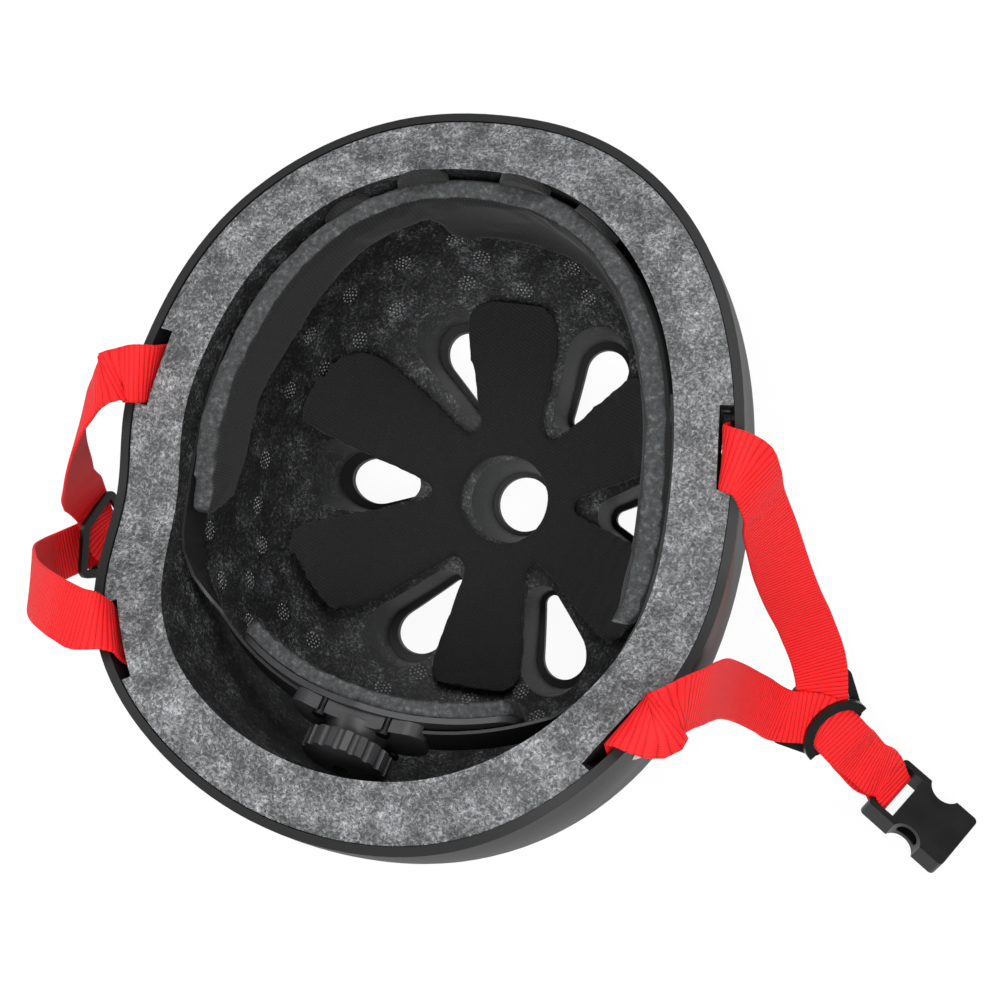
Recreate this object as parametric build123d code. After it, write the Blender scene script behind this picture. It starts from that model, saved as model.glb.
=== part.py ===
from build123d import *
import os
from math import radians, degrees, sin, cos, tan, pi, sqrt, copysign

os.makedirs("parts", exist_ok=True)

# Sizes in millimetres. The shell, liner, pads and cradle are drawn with the crown straight down, +Y to the
# brow and +X to the wearer's left. At the end they all turn by rest_tilt on to the crown's resting point.

# Shell
half_width = 104.0
front_length = 135.5
rear_length = 126.0
widest_offset = 5.5
crown_depth = 105.0
plan_power = 2.25
rear_power = 2.1
shell_wall = 3.0
flare_height = 70.0
flare_limit_share = 0.6
side_flare_share = 0.045
front_draw_share = 0.013
rear_draw_share = 0.068
rest_tilt = 7.3
rim_stations = [(-1.41, 1.70), (-1.26, 1.724), (-1.058, 1.78), (-0.84, 1.82), (-0.64, 1.775),
                (-0.42, 1.63), (-0.192, 1.522), (0.048, 1.554), (0.337, 1.532), (0.769, 1.44),
                (1.24, 1.231), (1.43, 1.15)]
overrun = 6.0
vent_round = 9.5
vent_tip = 3.4
crown_hole = 11.4

# Liner
bond_gap = 0.3
liner_side = 22.0
liner_crown = 24.0
liner_below_shell = 0.8
liner_vent_growth = 1.2
liner_vent_taper = 4.5
liner_hole = 12.6
liner_hole_taper = 10.0
pocket_width = 27.0
pocket_depth = 5.0
pocket_height = 30.0

# Comfort pads
patch_gap = 0.3
patch_thickness = 1.5
crown_pad_thickness = 6.0
petal_count = 6
petal_reach = 76.0
petal_tip_round = 8.5
petal_width = 33.0
petal_root_width = 25.0
petal_turn = 3.0
pad_hole = 17.0
petal_limit = 84.0
crown_patch_radius = 9.0
crown_patch_reach = 48.0
brow_standoff = 3.2
brow_pad_thickness = 7.5
brow_top_gap = 6.0
brow_slide = 13.0

# Strap ends
web_width = 20.0
web_thickness = 1.3
rivet_drop = 16.0
strap_sink = 0.9
rivet_shank = 2.0
rivet_head = 4.8
rivet_head_height = 1.9
washer_radius = 5.0
washer_thickness = 0.9
small_gap = 0.15
anchor_angle_front = 10.5
anchor_angle_rear = -33.5

# Divider
divider_half = 19.0
divider_apex = 13.5
divider_foot = 12.5
divider_corner = 4.0
divider_thickness = 2.0
arch_side = 14.0
arch_rise = 11.0
strap_fan = 40.0
fan_radius = 18.0
fan_foot = 8.0
layer_gap = 0.7
lay_gap = 0.3
bridge_width = 3.4
bridge_thickness = 2.0

# Buckle
buckle_length = 35.0
buckle_width = 26.5
buckle_waist = 18.0
buckle_thickness = 9.0
buckle_corner = 3.0
bar_radius = 1.5
bar_inset = 2.2
bar_lead = 7.5
bar_spread = 2.6
slot_length = 21.4
slot_width = 5.2
socket_width = 21.5
socket_height = 5.2
socket_depth = 23.0
prong_thickness = 4.2
prong_width = 3.4
prong_length = 19.0
tongue_width = 3.6
plug_shoulder = 13.0

# Head band and cradle
arm_thickness = 1.4
arm_height = 14.0
arm_gap = 0.3
cradle_place = (-7.0, -83.5, 152.0)
cradle_turn = -6.5
cradle_lean = -27.0
yoke_radius = 97.0
yoke_thickness = 2.0
yoke_half_span = 51.0
yoke_height = 24.0
yoke_end_height = 16.0
foam_thickness = 4.0
foam_height = 20.0
rack_thickness = 1.1
rack_gap = 0.25
rack_height = 14.0
rack_reach = 22.0
pitch_radius = 4.0
tooth_count = 10
tooth_addendum = 0.7
tooth_dedendum = 0.95
tooth_backlash = 0.3
cover_wall = 1.8
cover_half_span = 24.0
neck_radius = 9.5
neck_length = 4.0
shaft_radius = 2.6
pivot_radius = 1.6
running_gap = 0.05
dial_radius = 15.0
dial_thickness = 9.0
dial_gap = 0.35
knurl_count = 18
knurl_radius = 1.6
click_outer = 7.6
click_inner = 5.6
click_height = 1.6
click_teeth = 20
screw_radius = 1.1
screw_head = 2.4
screw_head_height = 1.2


def as_vector(values):
    return values if isinstance(values, Vector) else Vector(*values)


def blend(low, high, share):
    return low + (high - low) * share


# Walls of the dome

def plan_lengths(z, inset):
    """Half-width, front and rear lengths of the wall that lies inset inside the outer surface."""
    rise = max(z - crown_depth, 0.0) / flare_height
    flare = rise * rise
    side = half_width * (1 + side_flare_share * min(flare, flare_limit_share)) - inset
    front = front_length * (1 - front_draw_share * flare) - inset
    rear = rear_length * (1 - rear_draw_share * flare) - inset
    return side, front, rear


def wall(angle, z, inset, crown_inset=None):
    """Point of a wall at a plan angle from +X, at height z."""
    crown_inset = inset if crown_inset is None else crown_inset
    side, front, rear = plan_lengths(z, inset)
    share = 1.0
    if z < crown_depth:
        fall = min((crown_depth - z) / (crown_depth - crown_inset), 1.0)
        share = sqrt(1 - fall * fall)
    along, across = cos(radians(angle)), sin(radians(angle))
    reach = front if across > 0 else rear
    power = plan_power if across > 0 else rear_power
    x = side * copysign(abs(along) ** (2 / power), along)
    y = reach * copysign(abs(across) ** (2 / power), across) - widest_offset
    return Vector(x * share, y * share, z)


def wall_frame(angle, z, inset, crown_inset=None):
    """Plane on a wall: X along the wall, Y up it, Z outwards."""
    step = 1.0
    here = wall(angle, z, inset, crown_inset)
    along = wall(angle + step, z, inset, crown_inset) - wall(angle - step, z, inset, crown_inset)
    rise = wall(angle, z + step, inset, crown_inset) - wall(angle, z - step, inset, crown_inset)
    out = along.cross(rise)
    if out.X * here.X + out.Y * here.Y < 0:
        along, out = along * -1, out * -1
    return Plane(origin=here, x_dir=along, z_dir=out)


def dome(side_inset, crown_inset):
    """Solid bounded by the wall that lies side_inset and crown_inset inside the outer surface."""
    heights = []
    for tilt in (4, 18, 34, 50, 64, 78):
        heights.append(crown_depth - (crown_depth - crown_inset) * cos(radians(tilt)))
    for level_share in (0, 0.34, 0.68, 1.02, 1.36):
        heights.append(crown_depth + level_share * flare_height)
    wires = []
    for z in heights:
        points = [wall(turn, z, side_inset, crown_inset) for turn in range(0, 360, 15)]
        wires.append(Wire([Edge.make_spline(points, periodic=True)]))
    return Solid.make_loft(wires)


def rim_height(y):
    """Height of the shell's rim at a place along the helmet."""
    for (y0, z0), (y1, z1) in zip(rim_stations, rim_stations[1:]):
        if y <= y1 * half_width:
            share = (y / half_width - y0) / (y1 - y0)
            return half_width * blend(z0, z1, share)
    return half_width * rim_stations[-1][1]


def side_region(stations, drop, top):
    """Wide block above (top True) or below a side profile that is lowered by drop."""
    points = [(y * half_width, z * half_width - drop) for y, z in stations]
    limit = (3 if top else -1) * half_width
    curve = Spline(*points)
    edges = curve + Polyline(points[-1], (points[-1][0], limit), (points[0][0], limit), points[0])
    return extrude(Plane.YZ * make_face(edges), amount=2 * half_width, both=True)


# Vents

def vent_outlines():
    """Round end and tip of each teardrop, as plan places."""
    rounds = []
    for x_share, y_share, tip_share in [(0.279, 0.548, 0.66), (0.293, -0.5625, 0.66), (0.5625, 0.0, 0.76)]:
        for side in (1, -1):
            place = (side * x_share * half_width, y_share * half_width)
            rounds.append((place, (place[0] * tip_share, place[1] * tip_share)))
    return rounds


def vent_cutter(growth, taper, bottom, height):
    cutters = []
    for round_place, tip_place in vent_outlines():
        ends = Pos(*round_place) * Circle(vent_round + growth) + Pos(*tip_place) * Circle(vent_tip + growth)
        outline = make_hull(ends.edges())
        cutters.append(extrude(Pos(0, 0, bottom) * outline, amount=height, taper=-taper))
    return cutters


def anchor_frame(side, angle, above, inset):
    """Wall plane at a strap end, at a height above the rim."""
    plan_angle = angle if side > 0 else 180 - angle
    y = wall(plan_angle, rim_height(0), inset).Y
    return wall_frame(plan_angle, rim_height(y) + above, inset)


def anchor_frames(above, inset):
    """Wall planes of the four strap ends, at a height above the rim."""
    places = [(side, angle) for side in (1, -1) for angle in (anchor_angle_front, anchor_angle_rear)]
    return [anchor_frame(side, angle, above, inset) for side, angle in places]


def outer_shell():
    shell = dome(0, 0) - dome(shell_wall, shell_wall)
    shell = shell - side_region(rim_stations, 0, True)
    shell = shell - Pos(0, 0, crown_depth / 4) * Cylinder(crown_hole, crown_depth)
    for cutter in vent_cutter(0, 0, -overrun, crown_depth / 2):
        shell = shell - cutter
    for frame in anchor_frames(-rivet_drop, 0):
        shell = shell - Location(frame) * Cylinder(rivet_shank + small_gap, 4 * shell_wall)
    return shell


def eps_liner():
    skin = shell_wall + bond_gap
    liner = dome(skin, skin) - dome(liner_side, liner_crown)
    liner = liner - side_region(rim_stations, liner_below_shell, True)
    cone_height = crown_depth / 2
    spread = cone_height * tan(radians(liner_hole_taper))
    cone = Cone(liner_hole, liner_hole + spread, cone_height)
    liner = liner - Pos(0, 0, cone_height / 2) * cone
    for cutter in vent_cutter(liner_vent_growth, liner_vent_taper, 0, crown_depth * 0.62):
        liner = liner - cutter
    for frame in anchor_frames((overrun - pocket_height) / 2, skin):
        pocket = Box(pocket_width, pocket_height + overrun, 2 * pocket_depth)
        liner = liner - Location(frame) * pocket
    liner = liner - cradle_frame * dial_relief()
    for side in (1, -1):
        liner = liner - arm_anchor_location(side) * anchor_hole()
    return liner


# Pads

def layer(near, far):
    """Skin of even thickness inside the liner, between two distances from it."""
    return (dome(liner_side + near, liner_crown + near)
            - dome(liner_side + far, liner_crown + far))


def petal_outline():
    outline = Circle(petal_root_width)
    for turn in range(petal_count):
        offset = petal_width / 2 - petal_tip_round
        reach = petal_reach - petal_tip_round
        root = petal_root_width / 2 - petal_tip_round / 2
        ends = Pos(reach, offset) * Circle(petal_tip_round) + Pos(reach, -offset) * Circle(petal_tip_round)
        ends = ends + Pos(pad_hole, root) * Circle(petal_tip_round / 2)
        ends = ends + Pos(pad_hole, -root) * Circle(petal_tip_round / 2)
        petal = make_hull(ends.edges())
        outline = outline + Rot(0, 0, 90 + petal_turn + turn * 360 / petal_count) * petal
    return outline - Circle(pad_hole)


def crown_pad():
    standoff = patch_thickness + 2 * patch_gap
    prism = extrude(petal_outline(), amount=petal_limit)
    return layer(standoff, standoff + crown_pad_thickness) & prism


def crown_hook_patches():
    patches = []
    skin = layer(patch_gap, patch_gap + patch_thickness)
    for turn in range(petal_count):
        spot = Rot(0, 0, 90 + petal_turn + turn * 360 / petal_count) * Pos(crown_patch_reach, 0, crown_depth / 2)
        patches.append((skin & spot * Cylinder(crown_patch_radius, crown_depth)).solid())
    return Compound(patches)


def brow_side(slide):
    """Side outline of one half of the brow pad, in shares of the half-width; slide moves its end back."""
    rows = [(-0.24, 1.42), (-0.17, 1.27), (-0.03, 1.215), (0.2, 1.205), (0.48, 1.12), (0.77, 1.1), (1.3, 1.0)]
    points = [(y * half_width - slide, z * half_width) for y, z in rows]
    top = 2 * half_width
    return Polyline(*points, (points[-1][0], top), (points[0][0], top), points[0])


def forehead_pad():
    pad = layer(brow_standoff, brow_standoff + brow_pad_thickness)
    pad = pad - side_region(rim_stations, brow_top_gap, True)
    region = None
    for side in (1, -1):
        face = make_face(brow_side(brow_slide if side > 0 else 0.0))
        half = extrude(Plane.YZ * face, amount=side * 2 * half_width)
        region = half if region is None else region + half
    tongue_rows = [(-0.27, 1.15), (-0.23, 0.86), (-0.16, 0.81), (0.36, 0.78), (0.5, 0.72), (0.57, 0.76),
                   (0.62, 1.15)]
    points = [(x * half_width, z * half_width) for x, z in tongue_rows]
    tongue = make_face(Polyline(*points, points[0]))
    tongue = extrude(Plane.XZ * tongue, amount=-2 * half_width)
    region = region + tongue
    pad = pad & region
    return largest(pad)


def largest(shape):
    return max(shape.solids(), key=lambda solid: solid.volume)


def forehead_hook_patches():
    patches = []
    skin = layer(patch_gap, brow_standoff - patch_gap)
    for angle in (62, 82, 104, 124):
        frame = wall_frame(angle, 1.28 * half_width, liner_side)
        patches.append(largest(skin & Location(frame) * Cylinder(crown_patch_radius, 4 * brow_pad_thickness)))
    return Compound(patches)


# Ribbons

def ribbon(stations, width, thickness):
    """Flat strap through (centre, width direction) stations, smooth between them."""
    steps = 3
    places = [as_vector(place) for place, across in stations]
    widths = [as_vector(across).normalized() for place, across in stations]
    path = []
    last = len(places) - 1
    for index in range(last):
        before, after = max(index - 1, 0), min(index + 2, last)
        for step in range(steps):
            share = step / steps
            path.append((smooth(places[before], places[index], places[index + 1], places[after], share),
                         blend(widths[index], widths[index + 1], share)))
    path.append((places[last], widths[last]))
    wires = []
    for index, (centre, across) in enumerate(path):
        ahead = path[min(index + 1, len(path) - 1)][0]
        behind = path[max(index - 1, 0)][0]
        along = (ahead - behind).normalized()
        across = (across - along * across.dot(along)).normalized()
        up = along.cross(across)
        side = across * (width / 2)
        rise = up * (thickness / 2)
        corners = [centre + side + rise, centre - side + rise, centre - side - rise, centre + side - rise]
        wires.append(Wire.make_polygon(corners))
    return Solid.make_loft(wires, ruled=True)


def pace(before, here, after):
    """Direction of travel at a station, even where the stations are unevenly spaced."""
    near, far = (here - before).length, (after - here).length
    if near == 0 or far == 0:
        return (after - before).normalized()
    return ((here - before) * (far / near) + (after - here) * (near / far)) * (1 / (near + far))


def smooth(before, start, end, after, share):
    """Point on the smooth curve between start and end."""
    span = (end - start).length
    lead = pace(before, start, end) * span
    trail = pace(start, end, after) * span
    cube, square = share ** 3, share ** 2
    return (start * (2 * cube - 3 * square + 1) + lead * (cube - 2 * square + share)
            + end * (3 * square - 2 * cube) + trail * (cube - square))


def turned(vector):
    """Direction of the shell's frame, in the resting frame."""
    lean = radians(rest_tilt)
    return Vector(vector.X, vector.Y * cos(lean) - vector.Z * sin(lean),
                  vector.Y * sin(lean) + vector.Z * cos(lean))


def rest_shift():
    """Move that brings the crown's resting point to the origin."""
    lean = radians(rest_tilt)
    crown = (rear_length + widest_offset)
    across = sqrt((crown_depth * cos(lean)) ** 2 + (crown * sin(lean)) ** 2)
    y = -crown * crown * sin(lean) / across
    z = crown_depth - crown_depth * sqrt(1 - (y / crown) ** 2)
    return turned(Vector(0, y, z)) * -1


def at_rest(vector):
    return turned(vector) + rest_shift()


def wall_station(side, angle, above, inset):
    """Strap station on the wall, in the resting frame: height above the rim and depth under the skin."""
    frame = anchor_frame(side, angle, above, inset)
    across = frame.x_dir if frame.x_dir.Y > 0 else frame.x_dir * -1
    half = across * (web_width / 2)
    slope = rim_height(frame.origin.Y + half.Y) - rim_height(frame.origin.Y - half.Y)
    across = across + Vector(0, 0, slope / web_width)
    return at_rest(frame.origin), turned(across)


def strap_lay():
    """Depth of the strap's middle behind the shell's outer surface."""
    return shell_wall + bond_gap + strap_sink + web_thickness / 2


def strap_end(side, angle):
    """Stations from the rivet up through the pocket and over the shell's edge."""
    lay = strap_lay()
    rows = [(-rivet_drop - web_width / 2, lay), (-rivet_drop, lay), (-pocket_depth, lay), (liner_below_shell, lay),
            (1.1 * pocket_depth, 0.7 * shell_wall), (1.4 * pocket_depth, -lay / 4), (0.8 * pocket_depth, -lay)]
    return [wall_station(side, angle, above, inset) for above, inset in rows]


def free_run(rows):
    """Stations between the rim and the divider, in shares of the half-width."""
    return [(Vector(*row[:3]) * half_width, Vector(*row[3:])) for row in rows]


def local(plane, x, y, z):
    return plane.origin + plane.x_dir * x + plane.y_dir * y + plane.z_dir * z


def fan_stations(plane, fan_sign, side, height):
    """Stations through the divider, from outside it to its foot, for the strap on one side."""
    rows = []
    for turn_share, reach_share in [(1, 0.9), (1, 0.4), (1, 0), (0.67, 0), (0.33, 0), (0, 0)]:
        turn = radians(strap_fan) * turn_share
        reach = reach_share * divider_half
        x = fan_radius * (1 - cos(turn)) + reach * sin(turn)
        y = fan_radius * sin(turn) + reach * cos(turn) - fan_foot
        across = plane.x_dir * cos(turn) - plane.y_dir * (sin(turn) * fan_sign)
        rows.append((local(plane, x * fan_sign, y, height), across * side))
    return rows


def layer_heights():
    low = divider_thickness / 2 + lay_gap + web_thickness / 2
    return low, low + web_thickness + layer_gap


def wrap_stations(plane, across_sign):
    """Round the buckle's bar: plane X is the bar, Y points to the mouth, Z is up."""
    lay = bar_radius + lay_gap + web_thickness / 2
    rows = []
    for turn in (115, 75, 35, 0, -35, -75, -115):
        rows.append((local(plane, 0, lay * cos(radians(turn)), lay * sin(radians(turn))),
                     plane.x_dir * across_sign))
    return rows


def bar_plane(buckle_plane, divider_plane):
    """Buckle plane turned about its bar until the doubled strap leaves it straight backwards."""
    leg = divider_plane.origin - buckle_plane.origin
    return Plane(origin=buckle_plane.origin, x_dir=buckle_plane.x_dir, z_dir=leg.cross(buckle_plane.x_dir))


def webbing(side, front_rows, rear_rows, divider_plane, buckle_plane):
    """One side's strap: from the rear rivet through the divider, round the buckle's bar and back."""
    low, high = layer_heights()
    bar = bar_plane(buckle_plane, divider_plane)
    front = strap_end(side, anchor_angle_front) + free_run(front_rows)
    rear = strap_end(side, anchor_angle_rear) + free_run(rear_rows)
    front = front + fan_stations(divider_plane, side, side, low)
    rear = rear + fan_stations(divider_plane, -side, side, high)
    front.append((local(divider_plane, 0, -2 * fan_foot, low), divider_plane.x_dir * side))
    rear.append((local(divider_plane, 0, -2 * fan_foot, high), divider_plane.x_dir * side))
    down, up = [], []
    for share, spread in leg_rows:
        middle = blend(divider_plane.origin, bar.origin, share)
        turn_share = min(1.2 * share, 1.0)
        normal = blend(divider_plane.z_dir, bar.z_dir, turn_share)
        across = blend(divider_plane.x_dir, bar.x_dir * -1, turn_share) * side
        centre = (low + high) / 2 * (1 - share)
        down.append((middle + normal * (centre + spread), across))
        up.append((middle + normal * (centre - spread), across))
    down.append((local(bar, 0, -bar_lead, bar_spread), bar.x_dir * -side))
    up.append((local(bar, 0, -bar_lead, -bar_spread), bar.x_dir * -side))
    path = rear + down + wrap_stations(bar, -side) + up[::-1] + front[::-1]
    strap = ribbon(path, web_width, web_thickness)
    for angle in (anchor_angle_front, anchor_angle_rear):
        frame = anchor_frame(side, angle, -rivet_drop, 0)
        hole = Pos(0, 0, -strap_lay()) * Cylinder(rivet_shank + small_gap, 2 * web_thickness)
        strap = strap - rest_location() * Location(frame) * hole
    return strap


def rest_location():
    shift = rest_shift()
    return Pos(shift.X, shift.Y, shift.Z) * Rot(rest_tilt, 0, 0)


# Rivets

def rivets_and_washers():
    rivets, washers = [], []
    for frame in anchor_frames(-rivet_drop, 0):
        place = Location(frame)
        dome_radius = (rivet_head ** 2 + rivet_head_height ** 2) / (2 * rivet_head_height)
        cap = Pos(0, 0, rivet_head_height - dome_radius) * Sphere(dome_radius)
        cap = cap & Pos(0, 0, rivet_head_height) * Cylinder(rivet_head, 2 * rivet_head_height)
        cap = Pos(0, 0, small_gap) * cap
        washer_top = -(strap_lay() + web_thickness / 2 + small_gap)
        shank_end = washer_top - washer_thickness - small_gap
        shank_top = rivet_head_height / 2
        shank_foot = shank_end - washer_thickness / 2
        shank = Pos(0, 0, (shank_foot + shank_top) / 2) * Cylinder(rivet_shank, shank_top - shank_foot)
        tail = Pos(0, 0, shank_end - washer_thickness / 2) * Cylinder(rivet_shank * 1.7, washer_thickness)
        rivets.append((place * (cap + shank + tail)).solid())
        ring = Cylinder(washer_radius, washer_thickness) - Cylinder(rivet_shank + small_gap, overrun)
        washers.append((place * Pos(0, 0, washer_top - washer_thickness / 2) * ring).solid())
    return Compound(rivets), Compound(washers)


# Divider

def strap_divider():
    foot_side = web_width / 2 + bridge_width - divider_corner
    corners = [(divider_half - divider_corner, divider_corner), (-divider_half + divider_corner, divider_corner),
               (0, divider_apex - divider_corner), (foot_side, divider_corner - divider_foot),
               (-foot_side, divider_corner - divider_foot)]
    spots = [Pos(*corner) * Circle(divider_corner) for corner in corners]
    outline = make_hull(Sketch(children=spots).edges())
    opening = offset(outline, -bridge_width)
    plate = extrude(outline - opening, amount=divider_thickness / 2, both=True)
    low, high = layer_heights()
    underside = high + web_thickness / 2 + lay_gap
    top = underside + bridge_thickness
    foot_y = divider_corner - divider_foot
    leg_top = 0.5 * foot_y
    leg_inner = web_width / 2 + 5 * lay_gap
    arch = Ellipse(arch_side, arch_rise) - Ellipse(arch_side - bridge_width, arch_rise - bridge_width)
    upper = Pos(0, divider_half) * Rectangle(2 * divider_half, 2 * divider_half)
    arch = (Pos(0, foot_y) * (arch & upper)) & outline
    bar = extrude(Pos(0, 0, underside) * arch, amount=bridge_thickness)
    legs = extrude(Pos(0, 0, -divider_thickness / 2) * arch, amount=top + divider_thickness / 2)
    legs = legs - Box(2 * leg_inner, 4 * divider_half, 4 * top)
    legs = legs - Pos(0, leg_top + divider_half) * Box(4 * divider_half, 2 * divider_half, 4 * top)
    return bar + legs + plate


# Buckle, drawn with its bar along X at the origin, its mouth towards +Y

def waist_outline(length, end_width, mouth_width, waist):
    """Plan of the buckle body with a concave waist on both sides."""
    start = -bar_radius - bar_inset
    body = Pos(0, start + length / 2) * Rectangle(mouth_width, length)
    body = fillet(body.vertices(), buckle_corner / 1.5)
    bite = (mouth_width - waist) / 2
    bite_radius = 6.4
    for side in (1, -1):
        x = side * (waist / 2 + bite_radius)
        scoop = Pos(x, start + 0.54 * length) * Circle(bite_radius)
        body = body - scoop
    return body


def strap_bar(body):
    """Opens the strap end of a buckle part and sets the bar across it."""
    front, back = bar_radius + slot_width, -2 * (bar_radius + bar_inset)
    body = body - Pos(0, (front + back) / 2) * Box(slot_length, front - back, 2 * buckle_thickness)
    return body + Rot(0, 90, 0) * Cylinder(bar_radius, slot_length + 2 * small_gap)


def buckle_socket():
    outline = waist_outline(buckle_length, buckle_width, buckle_width, buckle_waist)
    body = extrude(outline, amount=buckle_thickness / 2, both=True)
    start = -bar_radius - bar_inset
    mouth_end = start + buckle_length
    body = strap_bar(body)
    cavity = Rectangle(socket_width, socket_height)
    cavity = fillet(cavity.vertices(), socket_height / 2.6)
    cavity = extrude(Plane.XZ.offset(-mouth_end - overrun) * cavity, amount=socket_depth + overrun)
    return body - cavity


def buckle_plug():
    start = -bar_radius - bar_inset
    base = Pos(0, start + plug_shoulder / 2) * Rectangle(buckle_width, plug_shoulder)
    base = fillet(base.vertices(), buckle_corner / 1.5)
    body = extrude(base, amount=prong_thickness / 2 + 1.0 * bar_radius / 1.5, both=True)
    body = strap_bar(body)
    shoulder = start + plug_shoulder
    tongue = Pos(0, shoulder + 0.36 * prong_length) * Rectangle(tongue_width, 0.9 * prong_length)
    prongs = tongue
    for side in (1, -1):
        inner = side * (socket_width / 2 - 1.6 * prong_width)
        outer = side * (socket_width / 2 - 0.6 * prong_width)
        barb = side * (socket_width / 2 - 0.06 * prong_width)
        outline = Polyline((inner, shoulder - bar_radius), (inner, shoulder + 0.86 * prong_length),
                           (outer, shoulder + prong_length), (barb, shoulder + 0.82 * prong_length),
                           (barb, shoulder + 0.6 * prong_length), (outer, shoulder + 0.6 * prong_length),
                           (outer, shoulder - bar_radius), (inner, shoulder - bar_radius))
        prongs = prongs + make_face(outline)
    return body + extrude(prongs, amount=prong_thickness / 2, both=True)


# Head band, cradle and dial. The cradle is drawn with X along the band, Z up it and Y towards the head.

def band(near, far, start, end, height):
    """Curved plate between two distances behind the yoke's outer face, from start to end along X."""
    outer = Cylinder(yoke_radius + far, height)
    inner = Cylinder(yoke_radius + near, height + overrun)
    ring = Pos(0, yoke_radius, 0) * (outer - inner)
    cut = Pos((start + end) / 2, yoke_radius / 2 - overrun * 2, 0) * Box(end - start, yoke_radius, 2 * height)
    return ring & cut


def dial_place(depth):
    """Dial axis frame: Z points away from the head, at a depth behind the yoke's outer face."""
    return Pos(0, -depth, 0) * Rot(90, 0, 0)


def rack_depths():
    first = rack_gap
    second = first + rack_thickness + rack_gap
    return first, second, second + rack_thickness + rack_gap


def rack_teeth(upper):
    """Cutter for the window of one rack: teeth on its upper or lower edge."""
    pitch = 2 * pi * pitch_radius / tooth_count
    clear = pitch_radius + tooth_addendum + tooth_dedendum
    root = pitch_radius + tooth_dedendum
    tip = pitch_radius - tooth_addendum
    count = 9
    points = [(-(count + 0.5) * pitch, -clear), ((count + 0.5) * pitch, -clear)]
    quarter = pitch / 4
    lean = tooth_dedendum * tan(radians(20))
    for index in range(count, -count - 1, -1):
        middle = index * pitch
        points.append((middle + quarter + lean + tooth_backlash / 2, tip))
        points.append((middle + quarter - lean + tooth_backlash / 2, root))
        points.append((middle - quarter + lean - tooth_backlash / 2, root))
        points.append((middle - quarter - lean - tooth_backlash / 2, tip))
    face = make_face(Polyline(*points, points[0]))
    window = extrude(Plane.XZ * face, amount=yoke_radius / 2, both=True)
    return window if upper else Rot(0, 180, 0) * window


def cradle_yoke():
    plate = band(-yoke_thickness, 0, -yoke_half_span, yoke_half_span, yoke_height)
    middle, end = yoke_height / 2, yoke_end_height / 2
    spots = [Circle(middle), Pos(yoke_half_span - end, 0) * Circle(end), Pos(end - yoke_half_span, 0) * Circle(end)]
    outline = make_hull(Sketch(children=spots).edges())
    plate = plate & extrude(Plane.XZ * outline, amount=yoke_radius / 2, both=True)
    plate = plate - dial_place(0) * Cylinder(pivot_radius + running_gap, overrun)
    for x, z in screw_places():
        plate = plate - Pos(x, 0, z) * Rot(90, 0, 0) * Cylinder(screw_radius + small_gap, 4 * overrun)
    return plate


def screw_places():
    x = cover_half_span - 2.4 * screw_head
    z = rack_height / 2 + 1.15 * screw_head / 2 + 1.2
    return [(x / 1.6, z), (-x / 1.6, z), (x / 1.6, -z), (-x / 1.6, -z)]


def cover_height():
    return rack_height + 2 * rack_gap + 4.6 * screw_head / 2


def cradle_cover():
    near, middle, far = rack_depths()
    back = far + cover_wall
    height = cover_height()
    body = band(small_gap, back, -cover_half_span, cover_half_span, height)
    corner = height / 3
    outline = fillet(Rectangle(2 * cover_half_span, height).vertices(), corner)
    body = body & extrude(Plane.XZ * outline, amount=yoke_radius / 2, both=True)
    tunnel = band(-small_gap, far, -yoke_half_span, yoke_half_span, rack_height + 2 * rack_gap)
    body = body - tunnel
    neck = dial_place(back - cover_wall / 2) * Pos(0, 0, neck_length / 2) * Cone(
        neck_radius * 1.2, neck_radius, neck_length + cover_wall)
    body = body + neck
    body = body - dial_place(0) * Cylinder(shaft_radius + running_gap, 8 * overrun)
    for x, z in screw_places():
        body = body - Pos(x, 0, z) * Rot(90, 0, 0) * Cylinder(screw_radius + small_gap, 8 * overrun)
    return body


def neck_depth():
    return rack_depths()[2] + cover_wall / 2 + neck_length + cover_wall / 2


def cradle_screws():
    screws = []
    depth = rack_depths()[2] + cover_wall
    for x, z in screw_places():
        sag = yoke_radius + depth - sqrt((yoke_radius + depth) ** 2 - x * x)
        length = depth + yoke_thickness
        lift = small_gap + screw_head * abs(x) / (yoke_radius + depth)
        head = Pos(0, 0, depth - sag + screw_head_height / 2 + lift) * Cylinder(screw_head, screw_head_height)
        shank = Pos(0, 0, depth - sag - length / 2 + lift) * Cylinder(screw_radius, length)
        screws.append((Pos(x, 0, z) * Rot(90, 0, 0) * (head + shank)).solid())
    return Compound(screws)


def cradle_pad():
    far = -yoke_thickness - small_gap
    pad = band(far - foam_thickness, far, -yoke_half_span, yoke_half_span, foam_height)
    end = 0.42 * foam_height
    spots = [Pos(yoke_half_span - end, 0) * Circle(end), Pos(end - yoke_half_span, 0) * Circle(end)]
    spots.append(Rectangle(yoke_half_span, foam_height))
    outline = make_hull(Sketch(children=spots).edges())
    return pad & extrude(Plane.XZ * outline, amount=yoke_radius / 2, both=True)


def click_ring():
    outline = Circle(click_outer)
    for index in range(click_teeth):
        turn = index * 360 / click_teeth
        outline = outline - Rot(0, 0, turn) * Pos(click_outer, 0) * Rot(0, 0, 45) * Rectangle(
            click_outer / 10, click_outer / 10)
    ring = extrude(outline - Circle(click_inner), amount=click_height)
    return dial_place(neck_depth() + small_gap) * ring


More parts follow.
